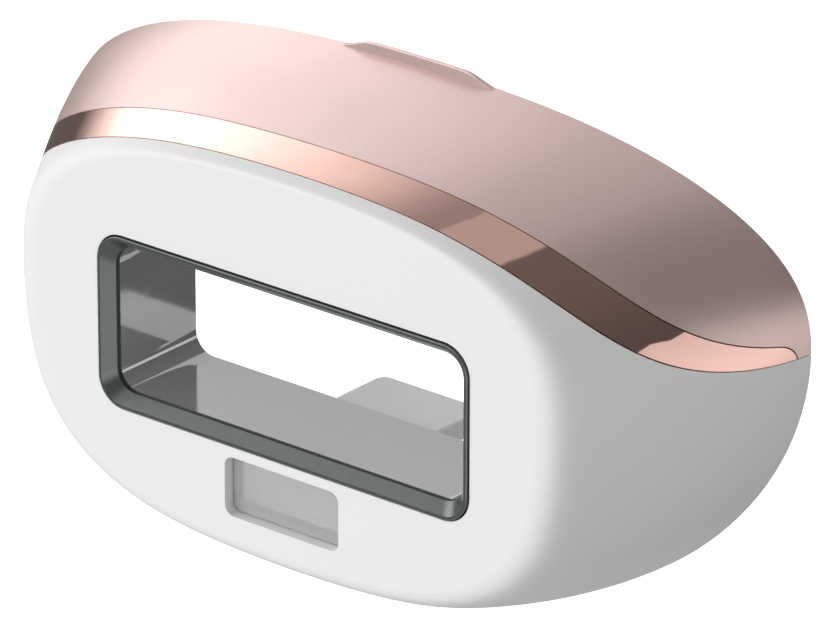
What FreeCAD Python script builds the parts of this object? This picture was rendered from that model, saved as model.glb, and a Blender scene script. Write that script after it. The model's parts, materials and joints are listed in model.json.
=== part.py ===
import FreeCAD, Part
import math
import os

# Push-fit treatment head of a light-based hair remover, in millimetres.
# X runs to the right, +Z up and +Y from the treated skin towards the device.
# The origin is the centre of the light window, in the plane of the flat front face.

V = FreeCAD.Vector
SIDES = (-1, 1)

# ---------------------------------------------------------------- driving dimensions

# The skin is a cubic surface over five rows of control points. Each row is a squared oval in
# a plane across Y: half width, height of its widest point, top, bottom, power of its upper half
# and power of its lower half. The last row lies behind the rim.
FACE_ROW = (24.6, 3.2, 15.5, -15.2, 2.57, 2.93)
CORNER_GROWTH = (1.75, 0.4, 0.84)     # face row to front corner: sides, top, bottom
SHOULDER_GROWTH = (2.0, 0.88, 1.6)    # front corner to shoulder
SHOULDER_Y = 3.3
FLANK_ROW = (35.2, 5.6, 19.75, -20.8, 2.9, 2.39)
FLANK_Y = 14.5
LAST_ROW = (37.7, 7.7, 21.65, -22.8, 2.0, 1.84)
LAST_Y = 21.5
POINTS_ROUND = 24                     # control points in a row
KNOT = 0.25                           # where the front corner's span ends

WALL = 2.0                            # whole wall, with cover or trim
SKIN = 0.95                           # cover and trim alone
SKIN_GAP = 0.04                       # between that skin and the shell under it
SEAM = 0.08                           # gap along each edge of the trim

# Side views of the rim and of the trim's edges, as (y, z) control points of curves that are
# drawn across the whole width.
RIM_EDGE = [(12.28, -30.0), (22.77, 0.0), (14.18, 30.0)]
TRIM_FRONT_EDGE = [(1.2, 16.26), (1.2, 12.64), (4.63, 5.68), (11.54, 4.38), (18.6, 5.82)]
TRIM_REAR_EDGE = [(4.7, 17.73), (4.7, 12.0), (9.06, 7.57), (15.4, 6.81)]
TRIM_TIP = [(15.4, 6.81), (16.3, 6.7), (16.95, 6.25), (17.0, 4.8)]
FAR = 45.0                            # beyond the part on every side

# Light window and the metal frame around it
FRAME_W, FRAME_H, FRAME_R = 36.1, 14.12, 2.3
TUNNEL_W, TUNNEL_H, TUNNEL_R = 34.0, 12.0, 1.8
SHEET = 0.4                           # tunnel lining
FRAME_FRONT, FRAME_BACK = -0.2, 1.2
FRAME_LIP, FRAME_EDGE_R = 0.28, 0.1
LIP_BACK = 0.8
FRAME_GAP = 0.15
PRESS = 0.4                           # travel of the frame
TUNNEL_FRONT = LIP_BACK + PRESS + 0.05
TUNNEL_BACK = 10.0
FLANGE = 0.9                          # width of the lining's rear flange
NECK_W, NECK_H = 35.2, 13.2
CARRIER_FRONT, CARRIER_BACK = WALL + 0.03, 3.0

# Chassis plate
PLATE_FRONT, PLATE_BACK = 8.2, 10.2
COLLAR_FRONT = 4.8
COLLAR_WALL = 1.0
TUNNEL_FIT = 0.1                      # added to both sizes of the tunnel's seat
BOSSES = [(15.5, 10.6), (-15.5, 10.6), (13.5, -10.6), (-13.5, -10.6)]
BOSS_R = 1.7
SCREW_R, SCREW_HEAD_R, SCREW_HEAD_H = 0.9, 1.75, 1.05
POSTS = [(-20.9, 3.6), (20.9, 3.6), (-20.9, -3.6), (20.9, -3.6)]
POST_NAMES = ["upper_left", "upper_right", "lower_left", "lower_right"]
POST_R, POST_BORE_R, POST_END = 0.8, 0.85, 9.4
LUG_R, LUG_REACH = 1.7, 3.0           # of the carrier, around each post
BUSH_R, BUSH_FRONT = 1.7, 6.2
SPRING_R, SPRING_WIRE_R, SPRING_HALF_TURNS = 1.25, 0.13, 9

# Board around the collar
BOARD_FRONT, BOARD_BACK = 6.4, 7.2
STANDOFFS = [(9.0, 11.8), (-9.0, 11.8), (12.5, -13.6), (-12.5, -13.6)]
STANDOFF_R, TAP_R, BOARD_SCREW_HEAD_R = 1.3, 0.6, 1.0

# Contact switches behind the carrier's two upper tabs
SWITCH_X, SWITCH_Z = 4.5, 10.5
PLUNGER_R = 0.45

# Skin tone sensor, below the light window
LENS_W, LENS_H, LENS_R, LENS_Z = 11.1, 4.8, 0.8, -10.5
LENS_FRONT = 0.9                      # its face lies this deep in the shell's opening
SHROUD_W, SHROUD_TOP, SHROUD_BOTTOM = 12.4, -8.4, -13.2
LENS_BACK = 2.8

# Contact tongue behind the chassis
TONGUE_LEFT, TONGUE_RIGHT, TONGUE_TOP = -8.85, 1.45, -10.0
TONGUE_T, TONGUE_END, TONGUE_CORNER = 1.7, 22.7, 1.0
TONGUE_FOOT = 6.4                     # half width of its foot in the chassis
STRIP_HALF, STRIP_T = 4.4, 0.6        # its contact board
PAD_COUNT, PAD_PITCH, PAD_W, PAD_T = 6, 1.4, 1.0, 0.1
PIN_T = 0.4

# Hooks at the two sides
HOOK_X, HOOK_Y, HOOK_Z = 24.6, 12.2, 2.0
HOOK_HALF = 3.1
PIN_R = 0.7
CHEEK_R, CHEEK_OUT = 1.6, 1.4         # of the forks on the chassis that carry the pins
LEAF_X, LEAF_T = 27.2, 0.25           # leaf spring behind each hook

# Pull ridge at the top of the rim
RIM_TOP = 20.15                       # height of the rim's middle
RIDGE_BASE, RIDGE_TOP = 8.0, 4.4      # half lengths of its foot and of its crest
RIDGE_HEIGHT, RIDGE_DEPTH, RIDGE_CREST = 0.82, 1.7, 0.4
RIDGE_KNEE, RIDGE_ROUND = 0.3, 0.18
RIDGE_SINK = 0.06                     # of its edges into the cover
RIDGE_SECTIONS = 21


# ---------------------------------------------------------------- plain shapes

def box(x0, x1, y0, y1, z0, z1):
    return Part.makeBox(x1 - x0, y1 - y0, z1 - z0, V(x0, y0, z0))


def rod(x, z, r, y0, y1):
    """A round bar along Y."""
    return Part.makeCylinder(r, y1 - y0, V(x, y0, z), V(0, 1, 0))


def fuse(shapes):
    out = shapes[0]
    for s in shapes[1:]:
        out = out.fuse(s)
    return out


def cut(shape, tools):
    for t in tools:
        shape = shape.cut(t)
    return shape


def rounded_outline(w, h, r, point):
    """Wire of a rounded rectangle; point turns flat coordinates into space."""
    u, v = w / 2 - r, h / 2 - r
    edges = []
    corners = [(u, v, 0), (-u, v, 90), (-u, -v, 180), (u, -v, 270)]
    last = None
    first = None
    for cx, cy, start in corners:
        angles = [math.radians(start + t) for t in (0, 45, 90)]
        p = [point(cx + r * math.cos(a), cy + r * math.sin(a)) for a in angles]
        if last is not None:
            edges.append(Part.LineSegment(last, p[0]).toShape())
        else:
            first = p[0]
        edges.append(Part.Arc(p[0], p[1], p[2]).toShape())
        last = p[2]
    edges.append(Part.LineSegment(last, first).toShape())
    return Part.Wire(edges)


def block(w, h, r, y0, y1, x=0.0, z=0.0):
    """A rounded rectangle in the XZ plane, drawn out along Y."""
    wire = rounded_outline(w, h, r, lambda a, b: V(x + a, y0, z + b))
    return Part.Face(wire).extrude(V(0, y1 - y0, 0))


def plate_xy(points, z0, z1):
    """A flat outline in the XY plane, drawn out along Z."""
    face = Part.Face(Part.makePolygon([V(x, y, z0) for x, y in points + points[:1]]))
    return face.extrude(V(0, 0, z1 - z0))


# ---------------------------------------------------------------- the skin

def signed_power(a, p):
    return math.copysign(abs(a) ** p, a)


def oval_row(row, y0, inset):
    half, wide_z, top, bottom, upper, lower = row
    points = []
    for i in range(POINTS_ROUND):
        angle = 2 * math.pi * (i - 1) / POINTS_ROUND - math.pi / 2
        c, s = math.cos(angle), math.sin(angle)
        power = upper if s >= 0 else lower
        reach = top - wide_z if s >= 0 else wide_z - bottom
        x = (half - inset) * signed_power(c, 2 / power)
        z = wide_z + (reach - inset) * signed_power(s, 2 / power)
        points.append(V(x, y0, z))
    return points


def grown(row, growth):
    half, wide_z, top, bottom, upper, lower = row
    side, up, down = growth
    return (half + side, wide_z, top + up, bottom - down, upper, lower)


def skin_surface(depth):
    """The outer surface moved inwards by depth."""
    corner = grown(FACE_ROW, CORNER_GROWTH)
    shoulder = grown(corner, SHOULDER_GROWTH)
    rows = [oval_row(FACE_ROW, depth, 0.61 * depth),
            oval_row(corner, depth, 0.61 * depth),
            oval_row(shoulder, SHOULDER_Y + 0.5 * depth, 0.85 * depth),
            oval_row(FLANK_ROW, FLANK_Y, 1.08 * depth),
            oval_row(LAST_ROW, LAST_Y, 1.05 * depth)]
    poles = [[row[i] for row in rows] for i in range(POINTS_ROUND)]
    surface = Part.BSplineSurface()
    surface.buildFromPolesMultsKnots(poles, [1] * (POINTS_ROUND + 1), [4, 1, 4],
                                     [float(i) for i in range(POINTS_ROUND + 1)],
                                     [0.0, KNOT, 1.0], True, False, 3, 3)
    return surface


def body(depth):
    """Closed solid inside the skin, from the front to behind the rim."""
    surface = skin_surface(depth)
    front = Part.Face(Part.Wire([surface.vIso(0.0).toShape()]))
    rear = Part.Face(Part.Wire([surface.vIso(1.0).toShape()]))
    shell = Part.makeShell([surface.toShape(), front, rear])
    shell.sewShape()
    solid = Part.makeSolid(Part.Shell(shell.Faces))
    if solid.Volume < 0:
        solid.reverse()
    return solid


def bezier(points, shift):
    curve = Part.BezierCurve()
    curve.setPoles([V(-FAR, y + shift, z + shift) for y, z in points])
    return curve.toShape()


def side_prism(curves, corners, shift):
    """Side view region closed by straight lines through corners, across the whole width."""
    edges = [bezier(c, shift) for c in curves]
    start = V(-FAR, curves[-1][-1][0] + shift, curves[-1][-1][1] + shift)
    end = V(-FAR, curves[0][0][0] + shift, curves[0][0][1] + shift)
    stops = [start] + [V(-FAR, y, z) for y, z in corners] + [end]
    for a, b in zip(stops, stops[1:]):
        edges.append(Part.LineSegment(a, b).toShape())
    return Part.Face(Part.Wire(edges)).extrude(V(2 * FAR, 0, 0))


def above_front_edge(shift=0.0):
    """Everything over and behind the trim's front edge."""
    (y0, z0), (y1, z1) = TRIM_FRONT_EDGE[-2:]
    tail_z = z1 + (FAR - y1) * (z1 - z0) / (y1 - y0)
    corners = [(FAR, tail_z + shift), (FAR, FAR), (TRIM_FRONT_EDGE[0][0] + shift, FAR)]
    return side_prism([TRIM_FRONT_EDGE], corners, shift)


def before_rear_edge(shift=0.0):
    """Everything under and in front of the trim's rear edge."""
    corners = [(TRIM_TIP[-1][0] + shift, -FAR), (-FAR, -FAR), (-FAR, FAR),
               (TRIM_REAR_EDGE[0][0] + shift, FAR)]
    return side_prism([TRIM_REAR_EDGE, TRIM_TIP], corners, shift)


def before_rim():
    """Everything in front of the curved rim."""
    corners = [(RIM_EDGE[-1][0], FAR), (-FAR, FAR), (-FAR, -FAR), (RIM_EDGE[0][0], -FAR)]
    return side_prism([RIM_EDGE], corners, 0.0)


def rim_y(z):
    """Where the rim lies at height z."""
    (y0, z0), (y1, _), (y2, z2) = RIM_EDGE
    t = (z - z0) / (z2 - z0)
    return (1 - t) ** 2 * y0 + 2 * t * (1 - t) * y1 + t * t * y2


# ---------------------------------------------------------------- casing

def lens_opening(grow, y0, y1):
    return block(LENS_W + grow, LENS_H + grow, LENS_R + grow / 2, y0, y1, 0, LENS_Z)


def cover_pegs(r):
    """Pegs on the cover's underside; the shell has a hole for each."""
    wall = body(0.4).cut(body(2.6))
    pegs = []
    for x, y in ((10.0, 12.6), (-10.0, 12.6), (22.0, 13.2), (-22.0, 13.2)):
        post = Part.makeCylinder(r, 2 * FAR, V(x, y, 0), V(0, 0, 1))
        pegs.append(post.common(wall))
    return pegs


def front_shell():
    shell = body(0).common(before_rim()).cut(body(WALL))
    seat = above_front_edge().cut(body(SKIN + SKIN_GAP))
    shell = shell.cut(seat)
    bosses = [rod(x, z, BOSS_R, WALL - 0.6, PLATE_FRONT) for x, z in BOSSES]
    shell = fuse([shell] + bosses)
    holes = [rod(x, z, SCREW_R + 0.02, 3.2, PLATE_FRONT + 1) for x, z in BOSSES]
    window = block(FRAME_W + 2 * FRAME_GAP, FRAME_H + 2 * FRAME_GAP, FRAME_R + FRAME_GAP,
                   -1, WALL + 1)
    pegs = cover_pegs(1.06)
    return cut(shell, holes + [window, lens_opening(0.1, -1, WALL + 1)] + pegs)


def skin_ring():
    return body(0).common(before_rim()).cut(body(SKIN))


def trim_band():
    return skin_ring().common(before_rear_edge()).common(above_front_edge(SEAM))


def skin_height(skin, x, y):
    return Part.makeLine(V(x, y, 0), V(x, y, FAR)).common(skin).BoundBox.ZMax


def ridge_section(skin, x):
    """Cross-section of the pull ridge: sloping foot, steep front wall and a small round."""
    share = min(1.0, (RIDGE_BASE - abs(x)) / (RIDGE_BASE - RIDGE_TOP))
    rise = share * share * (3 - 2 * share)
    sunk = RIDGE_SINK * (1 - rise)
    wall_y = rim_y(RIM_TOP) - RIDGE_CREST
    foot_y = rim_y(RIM_TOP) - RIDGE_DEPTH
    foot_z = skin_height(skin, x, foot_y)
    crest_z = skin_height(skin, x, wall_y) + RIDGE_HEIGHT * rise - sunk
    root_z = RIM_TOP - 0.8 * SKIN
    foot = V(x, foot_y, foot_z - RIDGE_SINK)
    knee = V(x, wall_y - 0.12, foot_z + RIDGE_KNEE * rise - sunk)
    wall_top = V(x, wall_y, crest_z - RIDGE_ROUND * rise)
    crest = V(x, wall_y + RIDGE_ROUND, crest_z)
    rounding = Part.BezierCurve()
    rounding.setPoles([wall_top, V(x, wall_y, crest_z), crest])
    stops = [crest, V(x, rim_y(crest_z), crest_z), V(x, rim_y(root_z), root_z), V(x, foot_y, root_z),
             foot, knee, wall_top]
    lines = [Part.LineSegment(a, b).toShape() for a, b in zip(stops, stops[1:])]
    return Part.Wire([rounding.toShape()] + lines)


def pull_ridge():
    """Low lip on the rim's top, whose ends run out into the cover."""
    skin = body(0)
    step = 2 * RIDGE_BASE / (RIDGE_SECTIONS - 1)
    places = [-RIDGE_BASE + i * step for i in range(RIDGE_SECTIONS)]
    return Part.makeLoft([ridge_section(skin, x) for x in places], True, False)


def top_cover():
    cover = skin_ring().common(above_front_edge(SEAM)).cut(before_rear_edge(SEAM))
    return fuse([cover, pull_ridge()] + cover_pegs(1.0))


# ---------------------------------------------------------------- light window

def contact_frame():
    """Metal frame with a narrow front lip, whose inner side slopes in to the light window."""
    ring = block(FRAME_W, FRAME_H, FRAME_R, FRAME_FRONT, FRAME_BACK)
    outer = [e for e in ring.Edges if abs(e.BoundBox.YMax - FRAME_FRONT) < 1e-3]
    ring = ring.makeFillet(FRAME_EDGE_R, outer)

    def outline(w, h, r, y):
        return rounded_outline(w, h, r, lambda a, b: V(a, y, b))

    mouth = outline(FRAME_W - 2 * FRAME_LIP, FRAME_H - 2 * FRAME_LIP, FRAME_R - FRAME_LIP,
                    FRAME_FRONT - 0.001)
    throat = outline(TUNNEL_W, TUNNEL_H, TUNNEL_R, LIP_BACK)
    ring = ring.cut(Part.makeLoft([mouth, throat], True, True))
    return ring.cut(block(NECK_W, NECK_H, TUNNEL_R + 0.6, LIP_BACK, FRAME_BACK + 1))


def frame_carrier():
    neck = block(FRAME_W, FRAME_H, FRAME_R, FRAME_BACK, CARRIER_FRONT + 0.2)
    flange = block(FRAME_W + 2.2, FRAME_H + 2.0, FRAME_R + 0.5, CARRIER_FRONT, CARRIER_BACK)
    parts = [neck, flange]
    for x, z in POSTS:
        side = math.copysign(1, x)
        x0, x1 = sorted((x, x - side * LUG_REACH))
        parts.append(box(x0, x1, CARRIER_FRONT, CARRIER_BACK, z - LUG_R, z + LUG_R))
        parts.append(rod(x, z, LUG_R, CARRIER_FRONT, CARRIER_BACK))
        parts.append(rod(x, z, POST_R, CARRIER_BACK - 0.3, POST_END))
    for s in SIDES:
        x = s * SWITCH_X
        parts.append(box(x - 1.2, x + 1.2, CARRIER_FRONT, CARRIER_BACK, FRAME_H / 2, SWITCH_Z + 1.0))
    return fuse(parts).cut(block(NECK_W, NECK_H, TUNNEL_R + 0.6, 0, CARRIER_BACK + 1))


def reflector_tunnel():
    lining = block(TUNNEL_W + 2 * SHEET, TUNNEL_H + 2 * SHEET, TUNNEL_R + SHEET,
                   TUNNEL_FRONT, TUNNEL_BACK)
    flange = block(TUNNEL_W + 2 * FLANGE, TUNNEL_H + 2 * FLANGE, TUNNEL_R + FLANGE,
                   TUNNEL_BACK - SHEET, TUNNEL_BACK)
    return lining.fuse(flange).cut(block(TUNNEL_W, TUNNEL_H, TUNNEL_R, 0, TUNNEL_BACK + 1))


def frame_spring(x, z):
    """Coil spring on a guide post, of tilted half turns that meet tangentially."""
    low = CARRIER_BACK + SPRING_WIRE_R + 0.02
    rise = (BUSH_FRONT - SPRING_WIRE_R - 0.02 - low) / SPRING_HALF_TURNS
    turns = []
    for i in range(SPRING_HALF_TURNS):
        side = SIDES[i % 2]
        start = V(x + side * SPRING_R, low + i * rise, z)
        end = V(x - side * SPRING_R, low + (i + 1) * rise, z)
        middle = (start + end) / 2
        half_turn = Part.Arc(start, middle + V(0, 0, -side * (end - start).Length / 2), end)
        section = Part.Wire([Part.makeCircle(SPRING_WIRE_R, start, V(0, 0, 1))])
        turns.append(Part.Wire([half_turn.toShape()]).makePipeShell([section], True, False))
    return fuse(turns)


# ---------------------------------------------------------------- chassis

def tunnel_seat(grow, r, y0, y1):
    return block(TUNNEL_W + 2 * SHEET + grow, TUNNEL_H + 2 * SHEET + grow, r, y0, y1)


def seal_ring(grow, y0, y1):
    outer = block(38.4 + grow, 16.4 + grow, 3.4, y0, y1)
    return outer.cut(block(36.2 - grow, 14.2 - grow, 2.9, y0 - 1, y1 + 1))


def fork(s):
    """Two cheeks on the chassis that hold a hook's pin."""
    near, far = HOOK_HALF + 0.2, HOOK_HALF + CHEEK_OUT
    cheeks = []
    for z0, z1 in ((HOOK_Z - far, HOOK_Z - near), (HOOK_Z + near, HOOK_Z + far)):
        foot = box(HOOK_X - CHEEK_R, HOOK_X + CHEEK_R, PLATE_BACK - 0.5, HOOK_Y, z0, z1)
        eye = Part.makeCylinder(CHEEK_R, z1 - z0, V(HOOK_X, HOOK_Y, z0))
        cheeks.append(foot.fuse(eye))
    both = fuse(cheeks)
    both = both.cut(Part.makeCylinder(PIN_R + 0.01, 20, V(HOOK_X, HOOK_Y, HOOK_Z - 10)))
    return both if s > 0 else both.mirror(V(0, 0, 0), V(1, 0, 0))


def leaf_slot(s):
    x0, x1 = sorted((s * (LEAF_X - 0.05), s * (LEAF_X + LEAF_T)))
    return box(x0, x1, PLATE_BACK - 1.0, PLATE_BACK + 1, HOOK_Z - 1.55, HOOK_Z + 1.55)


def tongue_mid():
    return (TONGUE_LEFT + TONGUE_RIGHT) / 2


def tongue_under():
    return TONGUE_TOP - TONGUE_T


def tongue_foot(grow, y0):
    """Flat foot of the tongue, in a pocket on the plate's front side."""
    half = TONGUE_FOOT + grow
    return box(tongue_mid() - half, tongue_mid() + half, y0, PLATE_FRONT + 0.8 + grow,
               TONGUE_TOP - 2.85 - grow, TONGUE_TOP + 1.15 + grow)


def chassis():
    plate = body(WALL + 0.12).common(box(-FAR, FAR, PLATE_FRONT, PLATE_BACK, -FAR, FAR))
    seat_r = TUNNEL_R + SHEET + TUNNEL_FIT / 2
    collar = tunnel_seat(2 * COLLAR_WALL + TUNNEL_FIT, seat_r + COLLAR_WALL, COLLAR_FRONT, PLATE_FRONT + 0.5)
    parts = [plate, collar]
    parts += [rod(x, z, BUSH_R, BUSH_FRONT, PLATE_FRONT + 0.5) for x, z in POSTS]
    parts += [rod(x, z, STANDOFF_R, BOARD_BACK, PLATE_FRONT + 0.5) for x, z in STANDOFFS]
    parts += [fork(s) for s in SIDES]
    tools = [tunnel_seat(TUNNEL_FIT, seat_r, 0, FAR),
             block(TUNNEL_W + 2 * FLANGE + 0.1, TUNNEL_H + 2 * FLANGE + 0.1, TUNNEL_R + FLANGE + 0.05,
                   TUNNEL_BACK - SHEET, FAR),
             seal_ring(0.06, PLATE_BACK - 0.5, PLATE_BACK + 1)]
    tools += [rod(x, z, POST_BORE_R, 0, FAR) for x, z in POSTS]
    tools += [rod(x, z, TAP_R + 0.02, BOARD_BACK - 1, 9.2) for x, z in STANDOFFS]
    for x, z in BOSSES:
        tools.append(rod(x, z, SCREW_R + 0.1, 0, FAR))
        tools.append(rod(x, z, SCREW_HEAD_R + 0.2, PLATE_BACK - SCREW_HEAD_H - 0.05, FAR))
    tools += [leaf_slot(s) for s in SIDES]
    tools.append(tongue_foot(0.05, PLATE_FRONT - 1))
    tools.append(box(TONGUE_LEFT - 0.05, TONGUE_RIGHT + 0.05, 0, FAR,
                     tongue_under() - PIN_T - 0.05, TONGUE_TOP + 0.05))
    return cut(fuse(parts), tools)


def rear_seal():
    return seal_ring(0.0, PLATE_BACK - 0.5, PLATE_BACK + 0.8)


# ---------------------------------------------------------------- electronics

def main_board():
    board = body(WALL + 1.2).common(box(-24.2, 24.2, BOARD_FRONT, BOARD_BACK, -FAR, FAR))
    tools = [tunnel_seat(2 * COLLAR_WALL + 0.7, 3.5, 0, FAR)]
    tools += [rod(x, z, BOSS_R + 0.3, 0, FAR) for x, z in BOSSES + POSTS]
    tools += [rod(x, z, TAP_R + 0.1, 0, FAR) for x, z in STANDOFFS]
    tools += [board_pin(x, 0.02, 0, FAR) for x in pin_places()]
    return cut(board, tools)


def switch_housings():
    housings = []
    for s in SIDES:
        x = s * SWITCH_X
        case = box(x - 1.4, x + 1.4, BOARD_FRONT - 2.0, BOARD_FRONT, SWITCH_Z - 1.1, SWITCH_Z + 1.1)
        case = case.cut(rod(x, SWITCH_Z, PLUNGER_R + 0.05, 0, BOARD_FRONT - 0.3))
        feet = [box(x + t * 1.6 - 0.3, x + t * 1.6 + 0.3, BOARD_FRONT - 0.25, BOARD_FRONT,
                    SWITCH_Z - 0.5, SWITCH_Z + 0.5) for t in SIDES]
        housings.append(fuse([case] + feet))
    return Part.makeCompound(housings)


def switch_plunger(s):
    x = s * SWITCH_X
    stem = rod(x, SWITCH_Z, PLUNGER_R, CARRIER_BACK + 0.05, BOARD_FRONT - 0.8)
    tip = [e for e in stem.Edges if e.BoundBox.YMax < CARRIER_BACK + 0.1 and e.Length > 1]
    return stem.makeFillet(0.12, tip)


def sensor_lens():
    pane = lens_opening(0.0, LENS_FRONT, WALL + 0.3)
    rim = [e for e in pane.Edges if abs(e.BoundBox.YMax - LENS_FRONT) < 1e-3]
    pane = pane.makeChamfer(0.08, rim)
    flange = box(-SHROUD_W / 2, SHROUD_W / 2, WALL + 0.02, LENS_BACK, SHROUD_BOTTOM, SHROUD_TOP)
    keep = box(-FAR, FAR, -1, WALL + 0.02, -FAR, FAR)
    return pane.common(keep).fuse(flange)


def sensor_shroud():
    mid_z = (SHROUD_TOP + SHROUD_BOTTOM) / 2
    high = SHROUD_TOP - SHROUD_BOTTOM
    tube = block(SHROUD_W, high, 0.5, LENS_BACK, BOARD_FRONT, 0, mid_z)
    return tube.cut(block(SHROUD_W - 1.6, high - 1.6, 0.4, 0, FAR, 0, mid_z))


def sensor_photodiode():
    mid_z = (SHROUD_TOP + SHROUD_BOTTOM) / 2
    base = box(-1.0, 1.0, BOARD_FRONT - 0.5, BOARD_FRONT, mid_z - 1.0, mid_z + 1.0)
    return base.fuse(block(1.2, 1.2, 0.2, BOARD_FRONT - 0.8, BOARD_FRONT - 0.5, 0, mid_z))


def sensor_leds():
    mid_z = (SHROUD_TOP + SHROUD_BOTTOM) / 2
    lamps = []
    for s in SIDES:
        base = block(1.6, 1.0, 0.15, BOARD_FRONT - 0.4, BOARD_FRONT, s * 3.4, mid_z)
        dome = rod(s * 3.4, mid_z, 0.42, BOARD_FRONT - 0.75, BOARD_FRONT - 0.4)
        lamps.append(base.fuse(dome))
    return Part.makeCompound(lamps)


def pin_places():
    """Centre x of each pin between the boards."""
    first = tongue_mid() - PAD_PITCH * (PAD_COUNT - 1) / 2
    return [first + i * PAD_PITCH for i in range(PAD_COUNT)]


def contact_board():
    mid = tongue_mid()
    return box(mid - STRIP_HALF, mid + STRIP_HALF, PLATE_FRONT - 0.3, TONGUE_END - 1.0,
               tongue_under(), tongue_under() + STRIP_T)


def contact_pads():
    pads = [box(x - PAD_W / 2, x + PAD_W / 2, TONGUE_END - 7.2, TONGUE_END - 1.6,
                tongue_under() - PAD_T, tongue_under()) for x in pin_places()]
    return Part.makeCompound(pads)


def board_pin(x, grow, y0, y1):
    half = PIN_T / 2 + grow
    mid_z = tongue_under() - PIN_T / 2
    return box(x - half, x + half, y0, y1, mid_z - half, mid_z + half)


def board_pins():
    return Part.makeCompound([board_pin(x, 0, BOARD_FRONT + 0.1, PLATE_BACK - 0.6) for x in pin_places()])


def contact_tongue():
    mid = tongue_mid()
    blade = box(TONGUE_LEFT, TONGUE_RIGHT, PLATE_FRONT + 0.4, TONGUE_END, tongue_under(), TONGUE_TOP)
    rear = [e for e in blade.Edges
            if abs(e.CenterOfMass.y - TONGUE_END) < 1e-3 and e.BoundBox.ZLength > 1]
    blade = blade.makeFillet(TONGUE_CORNER, rear)
    soft = [e for e in blade.Edges
            if abs(e.BoundBox.ZMin - TONGUE_TOP) < 1e-3 and e.BoundBox.YMax > 9.5]
    blade = blade.makeFillet(0.25, soft)
    bed = box(mid - STRIP_HALF - 0.05, mid + STRIP_HALF + 0.05, 0, TONGUE_END - 0.95,
              tongue_under() - PIN_T - 0.05, tongue_under() + STRIP_T + 0.02)
    return blade.fuse(tongue_foot(0, PLATE_FRONT)).cut(bed)


# ---------------------------------------------------------------- hooks

def hook(s):
    """Hook that turns on its pin; its barb faces inwards."""
    z0, z1 = HOOK_Z - HOOK_HALF, HOOK_Z + HOOK_HALF
    hub = Part.makeCylinder(1.45, z1 - z0, V(HOOK_X, HOOK_Y, z0))
    x_in, x_out = HOOK_X - 0.7, HOOK_X + 0.7
    arm = [(x_in, HOOK_Y), (x_out, HOOK_Y), (x_out, HOOK_Y + 4.6), (x_in + 0.5, HOOK_Y + 5.1),
           (x_in - 0.9, HOOK_Y + 3.6), (x_in - 0.9, HOOK_Y + 3.2), (x_in, HOOK_Y + 2.8)]
    shape = hub.fuse(plate_xy(arm, z0 + 0.5, z1 - 0.5))
    shape = shape.cut(Part.makeCylinder(PIN_R + 0.05, 20, V(HOOK_X, HOOK_Y, HOOK_Z - 10)))
    return shape if s > 0 else shape.mirror(V(0, 0, 0), V(1, 0, 0))


def hook_pin(s):
    length = 2 * (HOOK_HALF + CHEEK_OUT)
    return Part.makeCylinder(PIN_R, length, V(s * HOOK_X, HOOK_Y, HOOK_Z - length / 2))


def hook_spring(s):
    """Bent leaf that pushes the hook inwards."""
    t = LEAF_T
    outline = [(LEAF_X, PLATE_BACK - 0.95), (LEAF_X + t, PLATE_BACK - 0.95), (LEAF_X + t, 12.4),
               (25.35 + t, 15.7), (25.8 + t, 16.5), (25.8, 16.6), (25.35, 15.75), (LEAF_X, 12.35)]
    shape = plate_xy(outline, HOOK_Z - 1.5, HOOK_Z + 1.5)
    return shape if s > 0 else shape.mirror(V(0, 0, 0), V(1, 0, 0))


# ---------------------------------------------------------------- fasteners

def cross_recess(x, z, r, y0, y1):
    flat = box(x - r, x + r, y0, y1, z - r / 4, z + r / 4)
    return flat.fuse(box(x - r / 4, x + r / 4, y0, y1, z - r, z + r))


def chassis_screws():
    screws = []
    head_front = PLATE_BACK - SCREW_HEAD_H
    for x, z in BOSSES:
        head = rod(x, z, SCREW_HEAD_R, head_front, PLATE_BACK)
        crown = [e for e in head.Edges if e.BoundBox.YMin > PLATE_BACK - 1e-3 and e.Length > 1]
        head = head.makeFillet(0.35, crown)
        screw = head.fuse(rod(x, z, SCREW_R, 3.8, head_front))
        screws.append(screw.cut(cross_recess(x, z, 1.0, PLATE_BACK - 0.6, FAR)))
    return Part.makeCompound(screws)


def board_screws():
    screws = []
    for x, z in STANDOFFS:
        head = rod(x, z, BOARD_SCREW_HEAD_R, BOARD_FRONT - 0.7, BOARD_FRONT)
        screw = head.fuse(rod(x, z, TAP_R, BOARD_FRONT, 9.0))
        screws.append(screw.cut(cross_recess(x, z, 0.6, 0, BOARD_FRONT - 0.35)))
    return Part.makeCompound(screws)


# ---------------------------------------------------------------- export

def nodes():
    yield "front_shell", front_shell()
    yield "trim_band", trim_band()
    yield "top_cover", top_cover()
    yield "contact_frame", contact_frame()
    yield "frame_carrier", frame_carrier()
    yield "reflector_tunnel", reflector_tunnel()
    for name, (x, z) in zip(POST_NAMES, POSTS):
        yield "frame_spring_" + name, frame_spring(x, z)
    yield "chassis", chassis()
    yield "rear_seal", rear_seal()
    yield "main_board", main_board()
    yield "switch_housings", switch_housings()
    yield "switch_plunger_left", switch_plunger(-1)
    yield "switch_plunger_right", switch_plunger(1)
    yield "sensor_lens", sensor_lens()
    yield "sensor_shroud", sensor_shroud()
    yield "sensor_photodiode", sensor_photodiode()
    yield "sensor_leds", sensor_leds()
    yield "contact_tongue", contact_tongue()
    yield "contact_board", contact_board()
    yield "contact_pads", contact_pads()
    yield "board_pins", board_pins()
    for s, side in ((-1, "left"), (1, "right")):
        yield "hook_" + side, hook(s)
        yield "hook_pin_" + side, hook_pin(s)
        yield "hook_spring_" + side, hook_spring(s)
    yield "chassis_screws", chassis_screws()
    yield "board_screws", board_screws()


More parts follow.
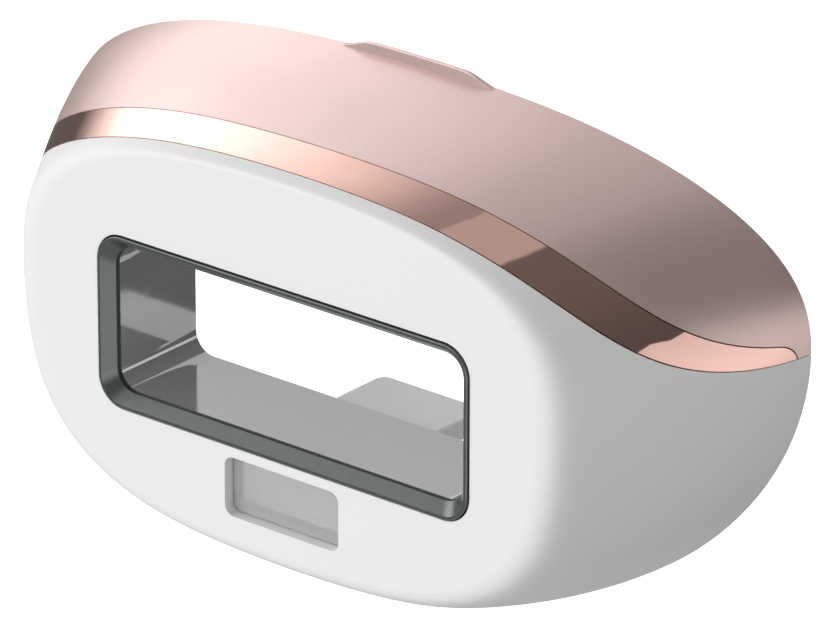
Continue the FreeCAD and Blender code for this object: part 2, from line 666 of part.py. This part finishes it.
os.makedirs("parts", exist_ok=True)
for name, shape in nodes():
    shape.exportStep("parts/%s.step" % name)
    b = shape.BoundBox
    print("%-26s solids %d valid %s volume %8.2f  x %6.2f %6.2f  y %6.2f %6.2f  z %6.2f %6.2f" % (
        name, len(shape.Solids), shape.isValid(), shape.Volume, b.XMin, b.XMax, b.YMin, b.YMax, b.ZMin, b.ZMax))
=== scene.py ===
import bpy
import json
import math
from mathutils import Matrix, Vector


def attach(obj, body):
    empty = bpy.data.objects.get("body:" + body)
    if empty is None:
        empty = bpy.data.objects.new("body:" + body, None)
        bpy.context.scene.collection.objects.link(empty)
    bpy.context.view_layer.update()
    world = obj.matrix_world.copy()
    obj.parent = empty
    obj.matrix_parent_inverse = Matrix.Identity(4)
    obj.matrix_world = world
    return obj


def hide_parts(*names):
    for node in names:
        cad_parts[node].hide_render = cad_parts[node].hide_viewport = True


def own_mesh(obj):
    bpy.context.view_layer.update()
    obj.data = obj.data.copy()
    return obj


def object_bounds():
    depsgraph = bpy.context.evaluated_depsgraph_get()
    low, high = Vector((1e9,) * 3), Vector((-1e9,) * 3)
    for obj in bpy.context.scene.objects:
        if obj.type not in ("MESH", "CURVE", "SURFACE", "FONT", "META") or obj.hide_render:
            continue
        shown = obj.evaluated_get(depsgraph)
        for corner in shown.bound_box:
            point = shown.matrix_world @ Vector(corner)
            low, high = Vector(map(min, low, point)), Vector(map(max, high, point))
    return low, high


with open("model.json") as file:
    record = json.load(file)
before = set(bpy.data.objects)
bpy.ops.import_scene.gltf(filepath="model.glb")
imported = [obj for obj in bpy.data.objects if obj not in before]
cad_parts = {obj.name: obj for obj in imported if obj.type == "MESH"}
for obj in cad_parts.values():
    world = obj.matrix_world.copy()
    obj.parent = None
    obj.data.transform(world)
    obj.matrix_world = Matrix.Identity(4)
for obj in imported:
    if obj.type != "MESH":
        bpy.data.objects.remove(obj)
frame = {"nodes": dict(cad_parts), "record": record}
CAD_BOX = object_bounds()
NODES = frame["nodes"]
MM = 0.001


# ---------------------------------------------------------------- node helpers

class Shader:
    """One node material, with short calls for the nodes it needs."""

    def __init__(self, name, colour=(0.8, 0.8, 0.8), metallic=0.0, roughness=0.5):
        self.mat = bpy.data.materials.new(name)
        self.mat.use_nodes = True
        self.tree = self.mat.node_tree
        self.bsdf = self.tree.nodes["Principled BSDF"]
        self.place = self.tree.nodes.new("ShaderNodeTexCoord").outputs["Object"]
        self.set("Base Color", (*colour, 1.0))
        self.set("Metallic", metallic)
        self.set("Roughness", roughness)

    def set(self, socket, value):
        self.bsdf.inputs[socket].default_value = value

    def node(self, kind, **inputs):
        made = self.tree.nodes.new("ShaderNode" + kind)
        for key, value in inputs.items():
            made.inputs[key.replace("_", " ")].default_value = value
        return made

    def link(self, a, b):
        self.tree.links.new(a, b)

    def noise(self, size, detail=3.0, stretch=(1, 1, 1)):
        """Noise with features about size metres across, finer along an axis with a larger stretch."""
        mapping = self.node("Mapping")
        mapping.inputs["Scale"].default_value = stretch
        self.link(self.place, mapping.inputs["Vector"])
        noise = self.node("TexNoise", Scale=1.0 / size, Detail=detail)
        self.link(mapping.outputs["Vector"], noise.inputs["Vector"])
        return noise.outputs["Fac"]

    def range(self, value, low, high):
        """Noise spread over low to high; its own values lie mostly between 0.25 and 0.75."""
        made = self.node("MapRange")
        made.inputs["From Min"].default_value = 0.25
        made.inputs["From Max"].default_value = 0.75
        made.inputs["To Min"].default_value = low
        made.inputs["To Max"].default_value = high
        self.link(value, made.inputs["Value"])
        return made.outputs["Result"]

    def vary_roughness(self, size, low, high, stretch=(1, 1, 1)):
        self.link(self.range(self.noise(size, 4.0, stretch), low, high), self.bsdf.inputs["Roughness"])

    def vary_colour(self, size, a, b):
        mix = self.node("Mix")
        mix.data_type = "RGBA"
        mix.inputs["A"].default_value = (*a, 1.0)
        mix.inputs["B"].default_value = (*b, 1.0)
        self.link(self.range(self.noise(size), 0.0, 1.0), mix.inputs["Factor"])
        self.link(mix.outputs["Result"], self.bsdf.inputs["Base Color"])

    def bump(self, size, depth, detail=2.0, stretch=(1, 1, 1)):
        made = self.node("Bump", Strength=1.0, Distance=depth)
        self.link(self.noise(size, detail, stretch), made.inputs["Height"])
        self.link(made.outputs["Normal"], self.bsdf.inputs["Normal"])


# ---------------------------------------------------------------- materials

def white_shell():
    s = Shader("white_shell", (0.88, 0.875, 0.873), 0.0, 0.4)
    s.vary_colour(0.020, (0.872, 0.868, 0.866), (0.888, 0.883, 0.881))
    s.vary_roughness(0.009, 0.36, 0.46)
    s.bump(0.00035, 0.0000035)
    return s


def rose_cover():
    s = Shader("rose_cover", (0.88, 0.665, 0.632), 0.7, 0.38)
    s.vary_colour(0.00025, (0.86, 0.65, 0.617), (0.90, 0.68, 0.647))
    s.vary_roughness(0.006, 0.36, 0.41)
    s.bump(0.0002, 0.0000006)
    return s


def rose_gold_band():
    s = Shader("rose_gold_band", (0.98, 0.62, 0.54), 1.0, 0.05)
    s.vary_roughness(0.005, 0.035, 0.065)
    s.bump(0.004, 0.0000008)
    return s


def bead_metal():
    s = Shader("bead_metal", (0.225, 0.24, 0.24), 0.85, 0.3)
    s.vary_colour(0.0015, (0.215, 0.229, 0.23), (0.235, 0.251, 0.25))
    s.vary_roughness(0.002, 0.26, 0.36)
    s.bump(0.00018, 0.0000015)
    return s


def mirror_lining():
    s = Shader("mirror_lining", (0.72, 0.72, 0.72), 0.8, 0.07)
    s.vary_roughness(0.004, 0.05, 0.10, stretch=(1, 8, 1))
    s.bump(0.004, 0.000002)
    return s


def drawn_steel(name, colour, low, high, stretch):
    s = Shader(name, colour, 1.0, high)
    s.vary_roughness(0.0006, low, high, stretch)
    s.bump(0.0002, 0.000002, stretch=stretch)
    return s


def moulded_plastic(name, colour, roughness, grain=0.0003, depth=0.000006):
    s = Shader(name, colour, 0.0, roughness)
    darker = tuple(0.96 * c for c in colour)
    s.vary_colour(0.004, darker, colour)
    s.vary_roughness(0.002, roughness - 0.06, roughness + 0.05)
    s.bump(grain, depth)
    return s


def board_green():
    s = Shader("board_green", (0.05, 0.20, 0.11), 0.0, 0.35)
    s.vary_colour(0.0012, (0.035, 0.16, 0.085), (0.07, 0.25, 0.13))
    s.vary_roughness(0.002, 0.28, 0.4)
    s.bump(0.0012, 0.00002)
    return s


def clear_lens():
    s = Shader("clear_lens", (0.90, 0.90, 0.90), 0.0, 0.03)
    s.set("Transmission Weight", 0.55)
    s.set("IOR", 1.49)
    s.vary_roughness(0.002, 0.02, 0.06)
    s.bump(0.0025, 0.000002)
    return s


MATERIALS = {
    "white_shell": white_shell(),
    "rose_cover": rose_cover(),
    "rose_gold_band": rose_gold_band(),
    "bead_metal": bead_metal(),
    "carrier_plastic": moulded_plastic("carrier_plastic", (0.36, 0.37, 0.39), 0.5),
    "mirror_lining": mirror_lining(),
    "spring_steel": drawn_steel("spring_steel", (0.62, 0.63, 0.64), 0.22, 0.34, (1, 1, 6)),
    "chassis_plastic": moulded_plastic("chassis_plastic", (0.62, 0.62, 0.63), 0.5),
    "seal_rubber": moulded_plastic("seal_rubber", (0.035, 0.035, 0.037), 0.62),
    "board_green": board_green(),
    "switch_plastic": moulded_plastic("switch_plastic", (0.02, 0.02, 0.022), 0.45),
    "plunger_plastic": moulded_plastic("plunger_plastic", (0.72, 0.70, 0.62), 0.45),
    "clear_lens": clear_lens(),
    "shroud_plastic": moulded_plastic("shroud_plastic", (0.80, 0.80, 0.80), 0.55),
    "diode_plastic": moulded_plastic("diode_plastic", (0.02, 0.015, 0.02), 0.25),
    "led_plastic": moulded_plastic("led_plastic", (0.85, 0.82, 0.62), 0.25),
    "tongue_plastic": moulded_plastic("tongue_plastic", (0.90, 0.90, 0.90), 0.48),
    "gold_contact": drawn_steel("gold_contact", (0.83, 0.62, 0.28), 0.2, 0.3, (1, 6, 1)),
    "hook_plastic": moulded_plastic("hook_plastic", (0.74, 0.74, 0.72), 0.42),
    "pin_steel": drawn_steel("pin_steel", (0.66, 0.67, 0.69), 0.18, 0.28, (1, 1, 6)),
    "screw_steel": drawn_steel("screw_steel", (0.52, 0.53, 0.55), 0.26, 0.38, (1, 1, 1)),
}


def dress_nodes():
    for part in frame["record"]["subparts"]:
        node = NODES[part["node"]]
        shader = MATERIALS[part["material_slot"]]
        for slot in node.material_slots:
            slot.material = shader.mat


# ---------------------------------------------------------------- springs

COIL_TURNS, COIL_CLOSED, COIL_STEPS = 5.5, 1.0, 48      # all turns, closed turns at each end
COIL_RADIUS, WIRE_RADIUS, WIRE_SIDES = 1.25 * MM, 0.13 * MM, 12
COIL_FRONT, COIL_BACK = 3.0 * MM, 6.2 * MM
COIL_CLIMB = COIL_BACK - COIL_FRONT - 2 * WIRE_RADIUS
COILS = {"upper_left": (-20.9, 3.6), "upper_right": (20.9, 3.6),
         "lower_left": (-20.9, -3.6), "lower_right": (20.9, -3.6)}

# Middle line of the right leaf spring and its mirror image, as (x, y) in millimetres
LEAF_LINE = [(27.325, 9.3), (27.325, 12.37), (25.475, 15.72), (25.93, 16.55)]
LEAF_THICK, LEAF_HALF, LEAF_Z = 0.25 * MM, 1.5 * MM, 2.0 * MM
LEAF_BEND, BEND_STEPS = 0.45 * MM, 8


def sweep(name, path, normal, section):
    """Mesh of a flat section carried along a path, closed at both ends."""
    verts, faces, n = [], [], len(section)
    for i, point in enumerate(path):
        before, after = path[max(i - 1, 0)], path[min(i + 1, len(path) - 1)]
        along = (after - before).normalized()
        normal = (normal - along * normal.dot(along)).normalized()
        side = along.cross(normal)
        verts += [point + normal * u + side * v for u, v in section]
    for i in range(len(path) - 1):
        for k in range(n):
            a, b = i * n + k, i * n + (k + 1) % n
            faces.append((a, b, b + n, a + n))
    faces += [tuple(reversed(range(n))), tuple(range(len(verts) - n, len(verts)))]
    mesh = bpy.data.meshes.new(name)
    mesh.from_pydata([tuple(v) for v in verts], [], faces)
    mesh.validate()
    mesh.materials.append(MATERIALS["spring_steel"].mat)
    made = bpy.data.objects.new(name, mesh)
    bpy.context.scene.collection.objects.link(made)
    return made


def coil_height(turn):
    """How far along its axis the coil has climbed, from 0 to 1: ends lie flat on their seats."""
    closed = COIL_CLOSED * 2 * WIRE_RADIUS / COIL_CLIMB
    if turn < COIL_CLOSED:
        return closed * turn / COIL_CLOSED
    if turn > COIL_TURNS - COIL_CLOSED:
        return 1.0 - closed * (COIL_TURNS - turn) / COIL_CLOSED
    return closed + (1.0 - 2 * closed) * (turn - COIL_CLOSED) / (COIL_TURNS - 2 * COIL_CLOSED)


def frame_coil(place, x, z):
    path = []
    for i in range(int(COIL_TURNS * COIL_STEPS) + 1):
        turn = i / COIL_STEPS
        angle = 2 * math.pi * turn
        path.append(Vector((x * MM + COIL_RADIUS * math.cos(angle),
                            COIL_FRONT + WIRE_RADIUS + COIL_CLIMB * coil_height(turn),
                            z * MM + COIL_RADIUS * math.sin(angle))))
    ring = [2 * math.pi * k / WIRE_SIDES for k in range(WIRE_SIDES)]
    section = [(WIRE_RADIUS * math.cos(a), WIRE_RADIUS * math.sin(a)) for a in ring]
    coil = sweep("coil_" + place, path, Vector((1, 0, 0)), section)
    for face in coil.data.polygons:
        face.use_smooth = len(face.vertices) == 4
    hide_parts("frame_spring_" + place)
    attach(coil, "casing")
    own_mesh(coil)


def rounded_line(points, reach):
    """The line through points, each inner corner replaced by a curve."""
    line = [points[0]]
    for a, b, c in zip(points, points[1:], points[2:]):
        start, end = b + (a - b).normalized() * reach, b + (c - b).normalized() * reach
        for k in range(BEND_STEPS + 1):
            t = k / BEND_STEPS
            line.append(start * (1 - t) ** 2 + b * 2 * t * (1 - t) + end * t * t)
    return line + [points[-1]]


def hook_leaf(side, s):
    points = [Vector((s * x, y, 0.0)) * MM for x, y in LEAF_LINE]
    path = [p + Vector((0, 0, LEAF_Z)) for p in rounded_line(points, LEAF_BEND)]
    u, v, r = LEAF_THICK / 2, LEAF_HALF, LEAF_THICK / 4
    section = [(u, v - r), (u - r, v), (r - u, v), (-u, v - r),
               (-u, r - v), (r - u, -v), (u - r, -v), (u, r - v)]
    leaf = sweep("leaf_" + side, path, Vector((1, 0, 0)), section)
    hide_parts("hook_spring_" + side)
    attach(leaf, "casing")
    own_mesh(leaf)


def add_springs():
    for place, (x, z) in COILS.items():
        frame_coil(place, x, z)
    hook_leaf("left", -1)
    hook_leaf("right", 1)


# ---------------------------------------------------------------- camera, light and floor

CAMERA_AZIMUTH, CAMERA_ELEVATION, CAMERA_ROLL = 39.27, 23.42, 0.0019
CAMERA_PLACE = Vector((0.3500, -0.4116, 0.2391))
SENSOR, LENS = 36.0, 338.6


def add_camera():
    a, e = math.radians(CAMERA_AZIMUTH), math.radians(CAMERA_ELEVATION)
    back = Vector((math.sin(a) * math.cos(e), -math.cos(a) * math.cos(e), math.sin(e)))
    right = Vector((math.cos(a), math.sin(a), 0.0))
    up = back.cross(right)
    c, s = math.cos(CAMERA_ROLL), math.sin(CAMERA_ROLL)
    axes = Matrix((c * right + s * up, c * up - s * right, back)).transposed()
    data = bpy.data.cameras.new("camera")
    data.sensor_width, data.lens = SENSOR, LENS
    data.clip_start, data.clip_end = 0.01, 50.0
    camera = bpy.data.objects.new("camera", data)
    camera.matrix_world = Matrix.Translation(CAMERA_PLACE) @ axes.to_4x4()
    bpy.context.scene.collection.objects.link(camera)
    bpy.context.scene.camera = camera


# Name, place and width in metres, and power in watts
LIGHTS = [("key", (-0.72, -1.0, 0.0), 1.2, 9.6),
          ("fill", (1.0, -0.6, 0.9), 0.8, 1.6),
          ("back", (0.25, 1.2, 0.7), 0.7, 6.0)]


def add_light(name, place, size, power):
    """A round soft light aimed at the object; the surroundings alone make the reflections."""
    data = bpy.data.lights.new(name, "AREA")
    data.shape, data.size, data.energy = "DISK", size, power
    lamp = bpy.data.objects.new(name, data)
    lamp.location = place
    lamp.rotation_euler = (-Vector(place)).to_track_quat("-Z", "Y").to_euler()
    lamp.visible_glossy = False
    bpy.context.scene.collection.objects.link(lamp)


# The studio's surroundings. A height is the sine of the angle above the horizon, and a light is
# a brightness. On the left a tall soft light fades towards both ends, over a dark wall.
SOFT_MIDDLE, SOFT_FULL, SOFT_END = 0.48, 0.1, 0.4     # height, and half lengths full and in all
SOFT_LIGHT, SOFT_FADE = 1.7, 1.7                      # its light, and the power of its fading
WALL_LOW, WALL_HIGH, WALL_RISE = 0.12, 0.3, (0.1, 0.6)
CEILING_EXTRA, CEILING_EDGE = 0.15, (0.9, 0.902)
BOUNCE_EXTRA, BOUNCE_RISE = 0.4, (-0.25, -1.0)        # from the floor

# The right is dark, over a pale sweep that ends above a grey floor
DARK_LIGHT, DARK_EXTRA = 0.09, 0.05                   # at the horizon, and more overhead
SWEEP_FOOT, SWEEP_TOP, SWEEP_EDGE = -0.35, 0.13, 0.002
SWEEP_LOW, SWEEP_HIGH = 0.95, 0.7
GREY_FLOOR, GREY_END = 0.3, -0.6

# Where one of them gives way to the next, along a direction's x, y or z
SPLIT_X = (-0.04, -0.02)              # left to right
DARK_BACK_Y, DARK_BACK_Z, DARK_BACK = (0.25, 0.5), (0.0, -0.05), 0.09     # low down behind, right
SIDE_LEAN, SIDE_EDGE, SIDE_LIGHT = 0.9, (0.08, 0.15), 0.5                 # behind, left


class World:
    """The studio's surroundings as one function of direction."""

    def __init__(self):
        self.world = bpy.data.worlds.new("studio")
        self.world.use_nodes = True
        self.tree = self.world.node_tree
        coords = self.tree.nodes.new("ShaderNodeTexCoord")
        split = self.tree.nodes.new("ShaderNodeSeparateXYZ")
        self.link(coords.outputs["Generated"], split.inputs["Vector"])
        self.x, self.y, self.z = (split.outputs[k] for k in "XYZ")

    def link(self, a, b):
        self.tree.links.new(a, b)

    def step(self, value, edge, kind="SMOOTHSTEP"):
        """0 before the edge, 1 after it."""
        made = self.tree.nodes.new("ShaderNodeMapRange")
        made.interpolation_type = kind
        made.inputs["From Min"].default_value, made.inputs["From Max"].default_value = edge
        self.link(value, made.inputs["Value"])
        return made.outputs["Result"]

    def math(self, operation, *values):
        made = self.tree.nodes.new("ShaderNodeMath")
        made.operation = operation
        for socket, value in zip(made.inputs, values):
            if isinstance(value, float):
                socket.default_value = value
            else:
                self.link(value, socket)
        return made.outputs["Value"]

    def rise(self, value, edge, extra, start=0.0):
        """Goes evenly from start, before the edge, to start and extra, after it."""
        return self.math("MULTIPLY_ADD", self.step(value, edge, "LINEAR"), extra, start)

    def mix(self, factor, a, b):
        """From a to b, either of them a light or a single number."""
        made = self.tree.nodes.new("ShaderNodeMix")
        made.data_type = "RGBA"
        self.link(factor, made.inputs["Factor"])
        for socket, light in ((made.inputs["A"], a), (made.inputs["B"], b)):
            if isinstance(light, float):
                socket.default_value = (light, light, light, 1.0)
            else:
                self.link(light, socket)
        return made.outputs["Result"]


def left_side(w):
    away = w.math("ABSOLUTE", w.math("SUBTRACT", w.z, SOFT_MIDDLE))
    soft = w.math("POWER", w.step(away, (SOFT_END, SOFT_FULL), "LINEAR"), SOFT_FADE)
    light = w.rise(w.z, WALL_RISE, WALL_HIGH - WALL_LOW, WALL_LOW)
    for more in (w.math("MULTIPLY", soft, SOFT_LIGHT),
                 w.rise(w.z, CEILING_EDGE, CEILING_EXTRA),
                 w.rise(w.z, BOUNCE_RISE, BOUNCE_EXTRA)):
        light = w.math("ADD", light, more)
    return light


def right_side(w):
    dark = w.math("MULTIPLY_ADD", w.math("MULTIPLY", w.z, w.z), DARK_EXTRA, DARK_LIGHT)
    foot = w.rise(w.z, (GREY_END, SWEEP_FOOT), SWEEP_LOW - GREY_FLOOR, GREY_FLOOR)
    fall = w.rise(w.z, (SWEEP_FOOT, SWEEP_TOP), SWEEP_HIGH - SWEEP_LOW)
    over = w.step(w.z, (SWEEP_TOP, SWEEP_TOP + SWEEP_EDGE))
    return w.mix(over, w.math("ADD", foot, fall), dark)


def studio_world():
    w = World()
    low_behind = w.math("MULTIPLY", w.step(w.y, DARK_BACK_Y), w.step(w.z, DARK_BACK_Z))
    right = w.mix(low_behind, right_side(w), DARK_BACK)
    beside = w.step(w.math("MULTIPLY_ADD", w.x, SIDE_LEAN, w.y), SIDE_EDGE)
    left = w.mix(beside, left_side(w), SIDE_LIGHT)
    background = w.tree.nodes["Background"]
    w.link(w.mix(w.step(w.x, SPLIT_X), left, right), background.inputs["Color"])
    background.inputs["Strength"].default_value = 1.0
    bpy.context.scene.world = w.world


FLOOR_SIZE, FLOOR_DROP = 8.0, 0.03    # width, and depth below the object's lowest point


def add_floor():
    """A pale, evenly bright floor that neither lights nor shades the object."""
    bpy.ops.mesh.primitive_plane_add(size=FLOOR_SIZE, location=(0, 0, CAD_BOX[0][2] - FLOOR_DROP))
    plane = bpy.context.object
    plane.name = "floor"
    s = Shader("floor", (0.93, 0.93, 0.93), 0.0, 0.8)
    s.vary_roughness(0.05, 0.75, 0.85)
    s.set("Emission Color", (1.0, 1.0, 1.0, 1.0))
    s.set("Emission Strength", 1.0)
    plane.data.materials.append(s.mat)
    plane.visible_glossy = False
    plane.visible_diffuse = False
    plane.visible_shadow = False


dress_nodes()
add_springs()
add_camera()
studio_world()
for light in LIGHTS:
    add_light(*light)
add_floor()
bpy.context.scene.view_settings.view_transform = "Standard"
